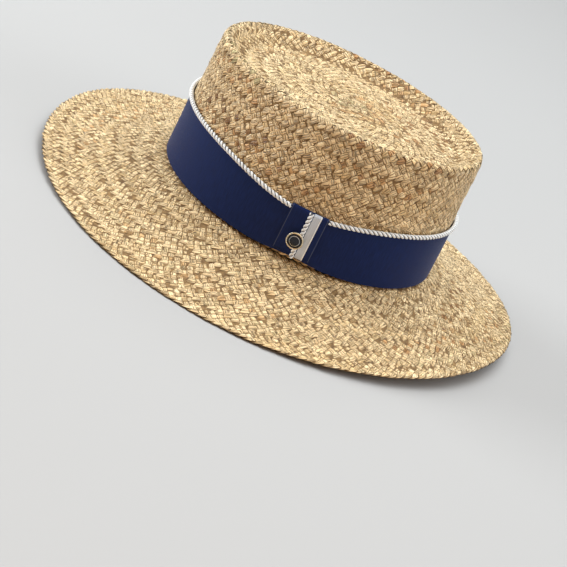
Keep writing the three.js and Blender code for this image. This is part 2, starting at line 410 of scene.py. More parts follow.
class Effects:
    """Node groups that more than one finish uses."""

    @staticmethod
    def _group(
        name: str, takes: dict[str, float], gives: list[str]
    ) -> tuple[Tree, Optional[NodeSheet]]:
        """Find a group by name, or start it with its sockets.

        Args:
            name: the group's name.
            takes: inputs and their defaults.
            gives: outputs.

        Returns:
            The group, and a sheet to fill where it is new.
        """
        if name in bpy.data.node_groups:
            return bpy.data.node_groups[name], None
        tree = bpy.data.node_groups.new(name, "ShaderNodeTree")
        for label, value in takes.items():
            socket = tree.interface.new_socket(label, in_out="INPUT", socket_type="NodeSocketFloat")
            socket.default_value = value
        for label in gives:
            tree.interface.new_socket(label, in_out="OUTPUT", socket_type="NodeSocketFloat")
        return tree, NodeSheet(tree)

    @classmethod
    def fibre_streaks(cls) -> Tree:
        """Long thin fibres that run along a strand or ply.

        Returns:
            The group.
        """
        tree, sheet = cls._group(
            "fibre_streaks",
            {"Along": 0.0, "Across": 0.0, "Seed": 0.0, "Fineness": 5.0, "Length": 20.0, "Folds": 4.0},
            ["Streak", "Ridge"],
        )
        if sheet:
            takes = sheet.add("NodeGroupInput").outputs
            along = sheet.math("DIVIDE", takes["Along"], takes["Length"])
            across = sheet.math("MULTIPLY", takes["Across"], takes["Fineness"])
            seed = sheet.math("MULTIPLY", takes["Seed"], 61.0)
            place = sheet.add("CombineXYZ", X=along, Y=across, Z=seed).outputs[0]
            fine = sheet.add("TexNoise", Vector=place, Scale=1.0, Detail=3.0, Roughness=0.6).outputs[0]
            quarter = sheet.math("MULTIPLY", across, 0.25)
            broad = sheet.add("CombineXYZ", X=along, Y=quarter, Z=seed).outputs[0]
            wobble = sheet.add("TexNoise", Vector=broad, Scale=1.0, Detail=1.0).outputs[0]
            folds = sheet.math("MULTIPLY", takes["Across"], takes["Folds"])
            fold = sheet.math("MULTIPLY_ADD", wobble, 9.0, folds)
            ridge = sheet.math("ABSOLUTE", sheet.math("SINE", fold))
            gives = sheet.add("NodeGroupOutput")
            sheet.feed(gives.inputs["Streak"], sheet.spread(fine, 0.3, 0.7, 0.0, 1.0))
            sheet.feed(gives.inputs["Ridge"], ridge)
        return tree

    @classmethod
    def woven_ribs(cls) -> Tree:
        """Crossing threads of a ribbon or tape.

        Returns:
            The group.
        """
        tree, sheet = cls._group(
            "woven_ribs",
            {"Along": 0.0, "Across": 0.0, "Weft": 0.5, "Warp": 0.3, "Warp Share": 0.35},
            ["Thread", "Slub"],
        )
        if sheet:
            takes = sheet.add("NodeGroupInput").outputs
            waves = []
            for run, pitch in (("Along", "Weft"), ("Across", "Warp")):
                turn = sheet.math("MULTIPLY", sheet.math("DIVIDE", takes[run], takes[pitch]), TURN)
                waves.append(sheet.math("MULTIPLY_ADD", sheet.math("SINE", turn), 0.5, 0.5))
            drop = sheet.math("MULTIPLY", waves[1], takes["Warp Share"])
            along = sheet.math("MULTIPLY", takes["Along"], 1.6)
            across = sheet.math("MULTIPLY", takes["Across"], 0.12)
            place = sheet.add("CombineXYZ", X=along, Y=across).outputs[0]
            slub = sheet.add("TexNoise", Vector=place, Scale=1.0, Detail=3.0).outputs[0]
            gives = sheet.add("NodeGroupOutput")
            sheet.feed(gives.inputs["Thread"], sheet.math("ADD", waves[0], drop))
            sheet.feed(gives.inputs["Slub"], sheet.spread(slub, 0.3, 0.7, 0.0, 1.0))
        return tree


@dataclass(frozen=True)
class Finish:
    """A finish with its material's name."""

    name: str

    def start(self) -> tuple[Material, NodeSheet, Node]:
        """Start a material.

        Returns:
            The material, its node sheet and its Principled shader.
        """
        material = bpy.data.materials.new(self.name)
        material.use_nodes = True
        tree = material.node_tree
        return material, NodeSheet(tree), next(n for n in tree.nodes if n.type == "BSDF_PRINCIPLED")

    @staticmethod
    def bump(
        sheet: NodeSheet, shader: Node, height: Any, strength: float, depth: float
    ) -> None:
        """Raise the surface by a height, depth in millimetres."""
        node = sheet.add("Bump", Height=height, Strength=strength, Distance=depth * MM)
        sheet.fill(shader, Normal=node.outputs[0])

    @staticmethod
    def fibres(sheet: NodeSheet, **inputs: Any) -> Any:
        """Run fibres along a mesh that carries along and across.

        Args:
            sheet: the material's nodes.
            **inputs: further inputs of the group.

        Returns:
            The group's outputs.
        """
        runs = {"Along": sheet.attribute("along"), "Across": sheet.attribute("across")}
        return sheet.add("Group", {"node_tree": Effects.fibre_streaks()}, **runs, **inputs).outputs


@dataclass(frozen=True)
class RaffiaFinish(Finish):
    """Dried raffia: pale strands with some honey, brown and olive ones, and fibres along each, with
    painted shade on strands that pass under, at strand edges and in fibre creases, and painted light on
    strand tops.
    """

    pale: Colour = (1.0, 0.775, 0.455)
    mid: Colour = (0.90, 0.66, 0.34)
    honey: Colour = (0.66, 0.37, 0.15)
    dark: Colour = (0.36, 0.19, 0.065)
    olive: Colour = (0.60, 0.50, 0.24)
    # Brightness left on strands that pass under: a painted shade.
    deep: float = 0.2
    # Brightness left in the folds between fibre ridges: a painted shade.
    crease_shade: float = 0.14
    streak_share: float = 0.34
    roughness: float = 0.44
    fineness: float = 3.4
    fibre_length: float = 9.0
    relief: float = 0.9

    def _strand_colour(self, sheet: NodeSheet, tint: Socket) -> Socket:
        """Choose a strand's own colour by its tint.

        Args:
            sheet: the material's nodes.
            tint: a number from 0 to 1 for each strand.

        Returns:
            The colour.
        """
        ramp = sheet.add("ValToRGB", Fac=tint)
        places = (0.0, 0.02, 0.07, 0.45, 0.97, 1.0)
        colours = (self.dark, self.honey, self.mid, self.pale, self.pale, self.olive)
        elements = ramp.color_ramp.elements
        while len(elements) < len(places):
            elements.new(1.0)
        for element, place, colour in zip(elements, places, colours):
            element.position, element.color = place, (*colour, 1.0)
        return ramp.outputs[0]

    def material(self) -> Material:
        """Build the material.

        Returns:
            The material.
        """
        made, sheet, shader = self.start()
        tint, shade, depth = (sheet.attribute(name) for name in ("tint", "shade", "depth"))
        fibres = self.fibres(sheet, Seed=tint, Fineness=self.fineness, Length=self.fibre_length)
        streak, ridge = fibres["Streak"], fibres["Ridge"]
        share = sheet.math("MULTIPLY", streak, self.streak_share)
        strand = sheet.blend(share, self._strand_colour(sheet, tint), self.honey, "MULTIPLY")
        # Painted shade: strands that pass under and strand edges are darkened down to deep, and strand
        # tops lightened a little, from the braid's depth number.
        level = sheet.spread(depth, -1.2, 0.15, self.deep, 1.0)
        # Painted shade in the folds between fibre ridges, and a slight painted highlight on the ridge
        # tops.
        level = sheet.math("MULTIPLY", level, sheet.spread(ridge, 0.0, 0.55, self.crease_shade, 1.1))
        level = sheet.math("MULTIPLY", level, sheet.spread(shade, 0.0, 1.0, 0.7, 1.16))
        # The painted shade dims green and blue more than red, so the shade turns warmer as it darkens.
        green, blue = (sheet.math("POWER", level, power) for power in (1.15, 1.35))
        painted_shade = sheet.add("CombineXYZ", X=level, Y=green, Z=blue).outputs[0]
        rough = sheet.spread(streak, 0.0, 1.0, self.roughness - 0.08, self.roughness + 0.14)
        colour = sheet.blend(1.0, strand, painted_shade, "MULTIPLY")
        sheet.fill(shader, Base_Color=colour, Roughness=rough, Specular_IOR_Level=0.55)
        height = sheet.math("ADD", ridge, sheet.math("MULTIPLY", streak, 0.5))
        self.bump(sheet, shader, height, 1.0, self.relief)
        return made


@dataclass(frozen=True)
class StrawCoreShadeFinish(Finish):
    """Painted shade: dark straw colours for the sheet that shows through between strands, standing in for
    the shade in the gaps.
    """

    dark: Colour = (0.13, 0.068, 0.025)
    light: Colour = (0.30, 0.18, 0.07)
    grain: float = 420.0

    def material(self) -> Material:
        """Build the material.

        Returns:
            The material.
        """
        made, sheet, shader = self.start()
        noise = sheet.noise(self.grain, 4.0)
        colour = sheet.blend(sheet.spread(noise, 0.35, 0.65, 0.0, 1.0), self.dark, self.light)
        sheet.fill(shader, Base_Color=colour, Roughness=0.85)
        self.bump(sheet, shader, noise, 0.5, 0.3)
        return made


@dataclass(frozen=True)
class RibbonFinish(Finish):
    """Woven ribbon or tape, with a line of another colour along chosen places."""

    base: Colour
    light: Colour
    line: Colour
    lines: tuple[tuple[float, float], ...]
    roughness: float
    weft: float
    sheen: float
    relief: float
    glow: Colour = (0.35, 0.5, 1.0)

    def material(self) -> Material:
        """Build the material.

        Returns:
            The material.
        """
        made, sheet, shader = self.start()
        along, across = sheet.attribute("along"), sheet.attribute("across")
        weave = {"node_tree": Effects.woven_ribs()}
        ribs = sheet.add("Group", weave, Along=along, Across=across, Weft=self.weft).outputs
        slub, thread = ribs["Slub"], ribs["Thread"]
        colour = sheet.blend(sheet.math("MULTIPLY", slub, 0.8), self.base, self.light)
        colour = sheet.blend(sheet.math("MULTIPLY", thread, 0.25), colour, self.light)
        for place, width in self.lines:
            off = sheet.math("ABSOLUTE", sheet.math("SUBTRACT", along, place))
            mask = sheet.spread(off, width * 0.4, width * 0.6, 1.0, 0.0)
            colour = sheet.blend(mask, colour, self.line)
        rough = sheet.spread(slub, 0.0, 1.0, self.roughness, self.roughness + 0.12)
        sheet.fill(shader, Base_Color=colour, Roughness=rough, Specular_IOR_Level=0.12)
        glow = (*self.glow, 1.0)
        sheet.fill(shader, Sheen_Weight=self.sheen, Sheen_Roughness=0.4, Sheen_Tint=glow)
        self.bump(sheet, shader, thread, 0.6, self.relief)
        return made


@dataclass(frozen=True)
class CordFinish(Finish):
    """White rayon plies with fine yarns along them, and painted shade in the grooves between plies."""

    white: Colour = (0.93, 0.94, 0.95)
    grey: Colour = (0.72, 0.75, 0.79)
    groove_shade: Colour = (0.05, 0.06, 0.08)
    fineness: float = 14.0
    yarn_length: float = 6.0

    def material(self) -> Material:
        """Build the material.

        Returns:
            The material.
        """
        made, sheet, shader = self.start()
        streak = self.fibres(sheet, Fineness=self.fineness, Length=self.yarn_length)["Streak"]
        colour = sheet.blend(sheet.math("MULTIPLY", streak, 0.45), self.white, self.grey)
        # Painted shade: the side of each ply that faces into the cord is darkened towards the groove
        # colour.
        painted_groove_shade = sheet.spread(sheet.attribute("depth"), -0.15, 0.5, 1.0, 0.0)
        colour = sheet.blend(painted_groove_shade, colour, self.groove_shade)
        rough = sheet.spread(streak, 0.0, 1.0, 0.4, 0.6)
        sheet.fill(shader, Base_Color=colour, Roughness=rough, Sheen_Weight=0.15)
        self.bump(sheet, shader, streak, 0.5, 0.1)
        return made


@dataclass(frozen=True)
class MetalFinish(Finish):
    """Gilt metal, brushed by handling."""

    gilt: Colour = (0.72, 0.58, 0.34)
    worn: Colour = (0.80, 0.76, 0.68)
    grain: float = 900.0

    def material(self) -> Material:
        """Build the material.

        Returns:
            The material.
        """
        made, sheet, shader = self.start()
        noise = sheet.noise(self.grain, 5.0)
        colour = sheet.blend(sheet.spread(noise, 0.4, 0.65, 0.0, 1.0), self.gilt, self.worn)
        rough = sheet.spread(noise, 0.3, 0.7, 0.22, 0.42)
        sheet.fill(shader, Base_Color=colour, Roughness=rough, Metallic=1.0)
        self.bump(sheet, shader, noise, 0.15, 0.05)
        return made


@dataclass(frozen=True)
class EnamelFinish(Finish):
    """Dark glossy enamel with a thin silver ring let into it."""

    dark: Colour = (0.004, 0.005, 0.008)
    cloud: Colour = (0.012, 0.014, 0.02)
    ring: Colour = (0.62, 0.62, 0.6)
    ring_radius: float = 0.7
    ring_width: float = 0.05
    grain: float = 500.0

    def material(self) -> Material:
        """Build the material.

        Returns:
            The material.
        """
        made, sheet, shader = self.start()
        noise = sheet.noise(self.grain, 3.0)
        from_ring = sheet.math("SUBTRACT", sheet.attribute("across"), self.ring_radius)
        off = sheet.math("ABSOLUTE", from_ring)
        mask = sheet.spread(off, self.ring_width * 0.4, self.ring_width * 0.6, 1.0, 0.0)
        colour = sheet.blend(mask, sheet.blend(noise, self.dark, self.cloud), self.ring)
        rough = sheet.spread(noise, 0.3, 0.7, 0.16, 0.26)
        sheet.fill(shader, Base_Color=colour, Metallic=mask, Roughness=rough, Specular_IOR_Level=0.35)
        return made


@dataclass(frozen=True)
class FloorFinish(Finish):
    """Plain pale paper for the studio floor."""

    pale: Colour = (0.428, 0.416, 0.414)
    faint: Colour = (0.418, 0.406, 0.404)

    def material(self) -> Material:
        """Build the material.

        Returns:
            The material.
        """
        made, sheet, shader = self.start()
        colour = sheet.blend(sheet.noise(3.0), self.pale, self.faint)
        sheet.fill(shader, Base_Color=colour, Roughness=0.9, Specular_IOR_Level=0.1)
        return made


class Bench:
    """Where pieces are started, finished and tied to the frame."""

    @staticmethod
    def clear() -> None:
        """Deselect everything."""
        if bpy.context.object and bpy.context.object.mode != "OBJECT":
            bpy.ops.object.mode_set(mode="OBJECT")
        bpy.ops.object.select_all(action="DESELECT")

    @staticmethod
    def pick(piece: Piece) -> None:
        """Make one object the only one selected, and active."""
        Bench.clear()
        piece.select_set(True)
        bpy.context.view_layer.objects.active = piece

    @staticmethod
    def apply(piece: Piece, kind: str, **settings: Any) -> None:
        """Add a modifier and apply it.

        Args:
            piece: the object.
            kind: the modifier's type.
            **settings: its properties.
        """
        Bench.pick(piece)
        modifier = piece.modifiers.new(kind.lower(), kind)
        for name, value in settings.items():
            setattr(modifier, name, value)
        bpy.ops.object.modifier_apply(modifier=modifier.name)

    @staticmethod
    def carry(mesh: bpy.types.Mesh, numbers: dict[str, Array]) -> None:
        """Give a mesh named numbers, one for each vertex."""
        for name, values in numbers.items():
            layer = mesh.attributes.get(name) or mesh.attributes.new(name, "FLOAT", "POINT")
            layer.data.foreach_set("value", np.ascontiguousarray(values, dtype=np.float32).ravel())

    @staticmethod
    def from_arrays(
        name: str, points: Array, faces: Array, numbers: dict[str, Array], caps: tuple[Array, ...] = ()
    ) -> Piece:
        """Make one joined mesh of many small things.

        Args:
            name: the piece's name.
            points: vertices in millimetres.
            faces: four corners each.
            numbers: named numbers for each vertex.
            caps: further faces, for closed ends.

        Returns:
            The new object, smooth all over.
        """
        mesh = bpy.data.meshes.new(name)
        corners = faces.tolist() + [cap.tolist() for cap in caps]
        mesh.from_pydata((points * MM).tolist(), [], corners)
        mesh.polygons.foreach_set("use_smooth", np.ones(len(mesh.polygons), dtype=bool))
        Bench.carry(mesh, numbers)
        mesh.update()
        piece = bpy.data.objects.new(name, mesh)
        bpy.context.collection.objects.link(piece)
        return piece

    @staticmethod
    def laid_sheet(
        name: str,
        size: tuple[float, float],
        grid: tuple[int, int],
        mapping: Mapping,
        closed: bool,
        thickness: float,
    ) -> Piece:
        """Lay a flat grid over the hat and give it thickness.

        Args:
            name: the piece's name.
            size: run along the band and across it, in millimetres.
            grid: faces along and across.
            mapping: where a point comes to lie, from its shares along and across.
            closed: whether the two ends meet.
            thickness: thickness inwards, in millimetres.

        Returns:
            The new object.
        """
        Bench.clear()
        bpy.ops.mesh.primitive_grid_add(x_subdivisions=grid[0], y_subdivisions=grid[1], size=1.0)
        piece = bpy.context.object
        piece.name = piece.data.name = name
        mesh = piece.data
        flat = np.empty(len(mesh.vertices) * 3)
        mesh.vertices.foreach_get("co", flat)
        share = flat.reshape(-1, 3)[:, :2] + 0.5
        along, across = ((share[:, k] - 0.5) * size[k] for k in range(2))
        Bench.carry(mesh, {"along": along, "across": across})
        mesh.vertices.foreach_set("co", (mapping(share[:, 0], share[:, 1]) * MM).ravel())
        for layer in list(mesh.uv_layers):
            mesh.uv_layers.remove(layer)
        if closed:
            bpy.ops.object.mode_set(mode="EDIT")
            bpy.ops.mesh.select_all(action="SELECT")
            bpy.ops.mesh.remove_doubles(threshold=0.02 * MM)
            bpy.ops.object.mode_set(mode="OBJECT")
        Bench.apply(piece, "SOLIDIFY", thickness=thickness * MM, offset=-1.0, use_even_offset=False)
        Bench.pick(piece)
        bpy.ops.object.shade_smooth_by_angle(angle=math.radians(40))
        return piece

    @staticmethod
    def dress(
        piece: Piece, material: Material, slot: Slot, node: str
    ) -> Piece:
        """Give a piece its material and place in the frame.

        Args:
            piece: the object.
            material: its material.
            slot: the record's slot; not used.
            node: the solid it stands for.

        Returns:
            The same object.
        """
        piece.data.materials.clear()
        piece.data.materials.append(material)
        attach(piece, "root")
        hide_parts(node)
        piece.data.calc_loop_triangles()
        log.info("%s: %d triangles", piece.name, len(piece.data.loop_triangles))
        return piece


@dataclass
class Braid:
    """A flat plait of raffia strands, sewn round a wall in overlapping rows."""

    strands: int = 5
    strand_width: float = 4.5
    strand_depth: float = 0.7
    lift: float = 0.45
    shingle: float = 0.22
    turn_ease: float = 0.45
    turn_draw: float = 0.2
    level_ease: float = 0.4
    turn_reach: float = 0.55
    row_width: float = 13.4
    stray: float = 0.5
    rise_stray: float = 0.3
    width_stray: float = 0.28
    depth_stray: float = 0.3
    roll_stray: float = 0.7
    least_run: float = 0.3
    least_width: float = 0.3
    tint_block: int = 26
    # Painted light on the top of each strand and painted shade at its edges, both carried in depth.
    top_light: float = 0.15
    edge_shade: float = 1.5
    samples: int = 3
    seed: int = 7
    section: tuple[tuple[float, float], ...] = (
        (-1.0, -0.1), (-0.72, 0.7), (0.7, 0.75), (1.0, -0.1), (0.0, -0.8),
    )

    @property
    def column(self) -> float:
        """Spacing of the crossings across a row."""
        return self.row_width / self.strands

    def _across(self, phase: Array) -> Array:
        """Where a strand lies across the row, in columns from its middle.

        Args:
            phase: how far each strand has run, in crossings.

        Returns:
            Places across.
        """
        n, ease = self.strands, self.turn_ease
        folded = np.mod(phase, 2 * n)
        low = np.minimum(folded, 2 * n - folded)
        soft_low = np.sqrt(low**2 + ease**2)
        soft_high = n - np.sqrt((n - low) ** 2 + ease**2)
        share = smoothstep(low, n * 0.3, n * 0.7)
        return soft_low * (1 - share) + soft_high * share - n / 2

    def _level(self, phase: Array) -> Array:
        """Whether a strand lies over, 1, or under, -1, on its way.

        Args:
            phase: how far each strand has run, in crossings.

        Returns:
            Levels from -1 to 1.
        """
        n = self.strands
        place = np.mod(phase, n)
        turn = np.where(place < n / 2, place, place - n)
        wave = np.where(np.abs(turn) < 1.0, np.sin(math.pi / 2 * turn), -np.cos(math.pi * place))
        return wave / np.sqrt(wave**2 + self.level_ease**2)

    def _varied(self, dice: np.random.Generator, links: Array, columns: int) -> Array:
        """Random numbers that ease from one crossing to the next.

        Args:
            dice: source of numbers.
            links: the strand that each strand runs on into.
            columns: crossings round the row.

        Returns:
            One number for each strand and sample, from 0 to 1.
        """
        knots = dice.random((self.strands, columns))
        after = np.concatenate([knots, knots[links, :1]], axis=1)
        at = np.arange(columns * self.samples) / self.samples
        low = np.floor(at).astype(int)
        share = smoothstep(at - low, 0.0, 1.0)
        return after[:, low] * (1 - share) + after[:, low + 1] * share

    def row(self, shell: Shell, run: float, number: int) -> tuple[Array, Array, dict[str, Array]]:
        """Plait one row.

        Args:
            shell: the wall.
            run: the row's middle, down the wall.
            number: the row's number, for its own chance marks.

        Returns:
            Vertices, faces and the numbers that each vertex carries.
        """
        dice = np.random.default_rng(self.seed * 1000 + number)
        n, h = self.strands, self.column
        angles = np.linspace(0.0, TURN, 721)
        length = travelled(shell.place(np.full_like(angles, run), angles))
        turns = max(4, round(length[-1] / (2 * h)))
        columns = 2 * turns
        count = columns * self.samples
        at = np.arange(count) / self.samples
        links = (np.arange(n) + turns) % n
        phase = at[None, :] + 2.0 * np.arange(n)[:, None]
        wander = [self._varied(dice, links, columns) - 0.5 for _ in range(5)]
        across = self._across(phase) * h + wander[0] * self.stray
        level = self._level(phase)
        start = dice.random() * length[-1]
        along = (at[None, :] / columns * length[-1] + start + wander[1] * self.stray) % length[-1]
        t = np.interp(along, length, angles)
        down = np.maximum(run + across, self.least_run)
        normal = shell.normal(down, t)
        rise = level * self.lift + self.shingle * across / (n * h / 2) + wander[4] * self.rise_stray
        centre = shell.place(down, t) + normal * rise[..., None]
        after = np.concatenate([centre[:, 1:], centre[links, :1]], axis=1)
        before = np.concatenate([centre[np.argsort(links), -1:], centre[:, :-1]], axis=1)
        side = unit(np.cross(normal, after - before))
        middle_radius = max(float(shell.radius(np.array(run))), 1e-3)
        tight = np.clip(shell.radius(down) / middle_radius, self.least_width, 1.0)
        bend = np.mod(phase + n / 2, n) - n / 2
        drawn = 1 - self.turn_draw * np.exp(-((bend / self.turn_reach) ** 2))
        wide = self.strand_width / 2 * (1 + self.width_stray * wander[2]) * tight * drawn
        up = unit(normal + side * (wander[3] * self.roll_stray)[..., None])
        deep = self.strand_depth / 2 * (1 + self.depth_stray * wander[2])
        points = np.stack(
            [centre + side * (x * wide)[..., None] + up * (y * deep)[..., None] for x, y in self.section],
            axis=2,
        )
        strips = dice.random((n, columns // self.tint_block + 1))
        tint = strips[:, (at // self.tint_block).astype(int)]
        shade = self._varied(dice, links, columns)
        path = np.broadcast_to(at * h * math.sqrt(2), (n, count))
        x, tall = np.array(self.section).T
        whole = np.ones((n, count, len(self.section)))
        numbers = {
            "tint": tint[..., None] * whole,
            "shade": shade[..., None] * whole,
            "along": path[..., None] * whole,
            "across": x * whole,
            # depth carries painted shade on strands that pass under and at strand edges, and painted light
            # on strand tops.
            "depth": level[..., None] + self.top_light * tall - self.edge_shade * np.abs(x * whole) ** 6,
        }
        carried = {name: values.ravel() for name, values in numbers.items()}
        return points.reshape(-1, 3), self._skin(n, count, links), carried

    def _skin(self, n: int, count: int, links: Array) -> Array:
        """Faces round every strand of a row.

        Args:
            n: strands.
            count: sections along each.
            links: the strand that each strand runs on into.

        Returns:
            Four corners for each face.
        """
        m = len(self.section)
        ring = np.arange(n * count).reshape(n, count)
        following = np.concatenate([ring[:, 1:], ring[links, :1]], axis=1).reshape(-1, 1) * m
        ring = ring.reshape(-1, 1) * m
        corner = np.arange(m)
        beyond = (corner + 1) % m
        corners = [ring + beyond, ring + corner, following + corner, following + beyond]
        return np.stack(corners, axis=-1).reshape(-1, 4)

    def rows(self, name: str, shell: Shell, runs: Array, first: int) -> Piece:
        """Plait several rows as one piece.

        Args:
            name: the piece's name.
            shell: the wall.
            runs: each row's middle.
            first: number of the first row.

        Returns:
            The new object.
        """
        points, faces, numbers, start = [], [], [], 0
        for number, run in enumerate(runs):
            p, f, carried = self.row(shell, float(run), first + number)
            points.append(p)
            faces.append(f + start)
            numbers.append(carried)
            start += len(p)
        merged = {key: np.concatenate([carried[key] for carried in numbers]) for key in numbers[0]}
        return Bench.from_arrays(name, np.concatenate(points), np.concatenate(faces), merged)


@dataclass
class Crown:
    """The braided crown, and the core sheet between its strands, coloured dark as painted shade."""

    form: HatForm
    braid: Braid
    raffia: Material
    core: Material
    row_pitch: float = 10.9
    core_depth: float = 0.3
    steps_round: int = 128
    parts: tuple[str, ...] = ("tip", "shoulder", "side_upper", "side_lower")
    splits: tuple[float, ...] = (76.0, 108.0, 146.0)
    middle_gap: float = 0.4
    core_size: tuple[float, float] = (560.0, 180.0)
    core_short: float = 1.0

    def build(self) -> list[Piece]:
        """Braid the crown.

        Returns:
            Its pieces.
        """
        shell = Shell.of_crown(self.form)
        half = self.braid.row_width / 2
        first, last = half + self.middle_gap, shell.runs[-1] - half
        crest = float(shell.runs[np.argmax(shell.heights)])
        over = np.linspace(first, crest, round((crest - first) / self.row_pitch) + 1)
        down = np.linspace(crest, last, round((last - crest) / self.row_pitch) + 1)
        runs = np.concatenate([over, down[1:]])
        groups = np.searchsorted(np.array(self.splits), runs)
        pieces = []
        for group, part in enumerate(self.parts):
            chosen = runs[groups == group]
            number = int(np.argmax(groups == group))
            piece = self.braid.rows(f"crown_braid_{part}", shell, chosen, number)
            pieces.append(Bench.dress(piece, self.raffia, Slot.STRAW, "crown"))

        def lie(u: Array, v: Array) -> Array:
            """Place the core in the middle of the wall."""
            t, run = u * TURN, v * (shell.runs[-1] - self.core_short)
            lift = self.core_depth / 2 * np.minimum(1.0, v * 20)
            return shell.place(run, t) + shell.normal(run, t) * lift[:, None]

        grid = (self.steps_round, 72)
        # The core sheet carries painted shade for the gaps between strands.
        core = Bench.laid_sheet("crown_core", self.core_size, grid, lie, True, self.core_depth)
        pieces.append(Bench.dress(core, self.core, Slot.STRAW, "crown"))
        return pieces


@dataclass
class Brim:
    """The braided brim, and the core sheet between its strands, coloured dark as painted shade."""

    form: HatForm
    braid: Braid
    raffia: Material
    core: Material
    row_count: int = 7
    core_depth: float = 0.3
    steps_round: int = 160
    parts: tuple[str, ...] = ("inner", "middle", "outer", "edge")
    per_part: tuple[int, ...] = (3, 2, 1, 1)
    edge_draw: float = 0.42
    first_number: int = 40
    head_lap: float = 0.5
    edge_lap: float = 0.3
    core_size: tuple[float, float] = (830.0, 78.0)
    core_inset: float = 1.0
    core_short: float = 2.4

    def build(self) -> list[Piece]:
        """Braid the brim.

        Returns:
            Its pieces.
        """
        form, shell = self.form, Shell.of_brim(self.form)
        half = self.braid.row_width / 2
        first, last = form.head_radius + half - self.head_lap, form.edge_radius - half + self.edge_lap
        runs = np.linspace(first, last, self.row_count)
        pieces, start = [], 0
        for part, count in zip(self.parts, self.per_part):
            braid = replace(self.braid, turn_draw=self.edge_draw) if part == "edge" else self.braid
            chosen = runs[start : start + count]
            piece = braid.rows(f"brim_braid_{part}", shell, chosen, self.first_number + start)
            pieces.append(Bench.dress(piece, self.raffia, Slot.STRAW, "brim"))
            start += count

        def lie(u: Array, v: Array) -> Array:
            """Place the core in the middle of the wall."""
            wide = form.edge_radius - form.head_radius - self.core_short
            t, run = u * TURN, form.head_radius + self.core_inset + v * wide
            return shell.place(run, t) + shell.normal(run, t) * self.core_depth / 2

        grid = (self.steps_round, 24)
        # The core sheet carries painted shade for the gaps between strands.
        core = Bench.laid_sheet("brim_core", self.core_size, grid, lie, True, self.core_depth)
        pieces.append(Bench.dress(core, self.core, Slot.STRAW, "brim"))
        return pieces


@dataclass
class TwistedCord:
    """A cord of plies twisted together."""

    radius: float = 1.6
    plies: int = 2
    lead: float = 6.2
    twist: Twist = Twist.RIGHT
    ply_share: float = 0.56
    ply_sides: int = 10
    steps_per_lead: int = 16

    def lay(self, name: str, path: Array, out: Array) -> Piece:
        """Twist the plies along a path.

        Args:
            name: the piece's name.
            path: points along the cord's middle, in millimetres.
            out: directions off the surface at each point.

        Returns:
            The new object.
        """
        run = travelled(path)
        count = max(8, int(run[-1] / self.lead * self.steps_per_lead))
        even = np.linspace(0.0, run[-1], count)
        centre, normal = (
            np.stack([np.interp(even, run, line[:, k]) for k in range(3)], axis=1) for line in (path, out)
        )
        ahead = unit(np.gradient(centre, axis=0))
        normal = unit(normal - ahead * np.sum(normal * ahead, axis=1, keepdims=True))
        side = np.cross(ahead, normal)
        ply_radius = self.radius * self.ply_share
        orbit = self.radius - ply_radius
        points, faces, caps = [], [], []
        carried: dict[str, list[Array]] = {"along": [], "across": [], "depth": []}
        sides = np.arange(self.ply_sides)
        for ply in range(self.plies):
            turn = self.twist.value * TURN * even / self.lead + TURN * ply / self.plies
            spoke = normal * np.cos(turn)[:, None] + side * np.sin(turn)[:, None]
            middle = centre + spoke * orbit
            course = unit(np.gradient(middle, axis=0))
            lead_in = unit(spoke - course * np.sum(spoke * course, axis=1, keepdims=True))
            wing = np.cross(course, lead_in)
            swing = TURN * sides / self.ply_sides
            cosine, sine = np.cos(swing)[None, :, None], np.sin(swing)[None, :, None]
            ring = middle[:, None] + ply_radius * (lead_in[:, None] * cosine + wing[:, None] * sine)
            start = len(points) * count * self.ply_sides
            points.append(ring.reshape(-1, 3))
            index = start + np.arange(count * self.ply_sides).reshape(count, self.ply_sides)
            beyond = np.roll(index, -1, axis=1)
            corners = [index[:-1], beyond[:-1], beyond[1:], index[1:]]
            faces.append(np.stack(corners, axis=-1).reshape(-1, 4))
            caps += [index[0][::-1], index[-1]]
            whole = np.ones((count, self.ply_sides))
            carried["along"].append(even[:, None] * whole)
            carried["across"].append(np.sin(swing) * whole + ply * 3.0)
            # depth is 1 on the outward side of a ply and -1 on its inward side, which the cord's finish
            # uses for painted groove shade.
            carried["depth"].append(np.cos(swing) * whole)
        numbers = {key: np.concatenate([v.ravel() for v in rows]) for key, rows in carried.items()}
        return Bench.from_arrays(name, np.concatenate(points), np.concatenate(faces), numbers, tuple(caps))


